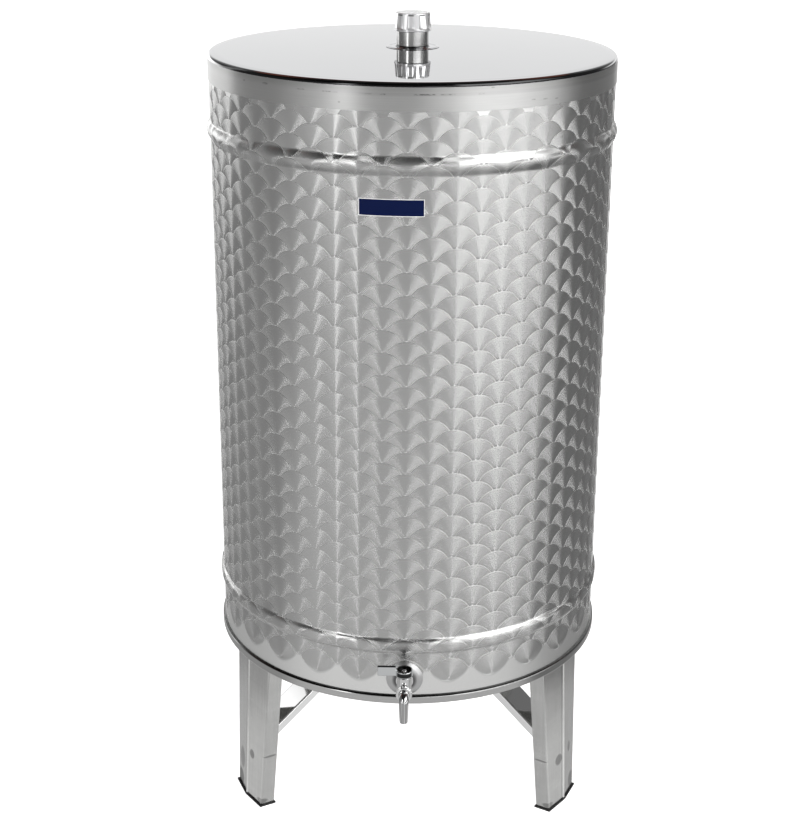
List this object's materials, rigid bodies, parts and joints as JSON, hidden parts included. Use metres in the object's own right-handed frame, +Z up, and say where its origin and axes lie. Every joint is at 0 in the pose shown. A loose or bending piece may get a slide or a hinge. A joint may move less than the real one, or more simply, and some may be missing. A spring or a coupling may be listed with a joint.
{
  "type": "vertical storage tank",
  "caption": "Upright round stainless liquid tank with swirl-finished wall, screw-capped lid, low front lever tap and a three-legged strutted stand.",
  "frame": {"origin": "centre of the object's bounding box, at floor level under the feet; the tank's own axis stands 28 mm behind it, at y = +0.0283", "axes": "+Z up along the tank's axis; the tap and its spout face -Y; +X is to the right when facing the tap"},
  "size_m": [0.5696, 0.6252, 1.155],
  "materials": {
    "swirled_steel": "overlapping swirl-polished sheet",
    "satin_steel": "satin",
    "dull_steel": "dull brushed",
    "leg_steel": "dull rolled sheet with stains",
    "mirror_steel": "mirror polished",
    "chrome": "bright plated",
    "black_rubber": "matt black",
    "white_liner": "matt white"
  },
  "bodies": {
    "tank": {"tank_wall": "swirled_steel", "bottom_plate": "satin_steel", "bottom_rim": "dull_steel", "lid": "mirror_steel", "lid_neck": "satin_steel", "neck_ring": "mirror_steel", "tap_washer": "satin_steel", "tap_seal": "black_rubber", "tap_backnut": "dull_steel", "tap_body": "chrome", "tap_collar": "chrome", "tap_spout": "chrome", "leg_left": "leg_steel", "leg_right": "leg_steel", "leg_back": "leg_steel", "strut_left": "leg_steel", "strut_right": "leg_steel", "strut_back": "leg_steel", "foot_left": "black_rubber", "foot_right": "black_rubber", "foot_back": "black_rubber"},
    "liner": {"cap_liner": "white_liner"},
    "cap": {"screw_cap": "chrome"},
    "tap_lever": {"tap_plug": "dull_steel", "tap_handle": "chrome", "tap_screw": "chrome"}
  },
  "joints": [
    {"name": "cap_lift", "type": "slide", "parent": "tank", "child": "liner", "axis": [0, 0, 1], "range_m": [0, 0.08]},
    {"name": "cap_turn", "type": "hinge", "parent": "liner", "child": "cap", "pos_m": [0, 0.0283, 1.15], "axis": [0, 0, 1], "range_deg": [0, 540]},
    {"name": "tap_turn", "type": "hinge", "parent": "tank", "child": "tap_lever", "pos_m": [0, -0.2797, 0.3044], "axis": [0, 0, 1], "range_deg": [0, 90]}
  ]
}
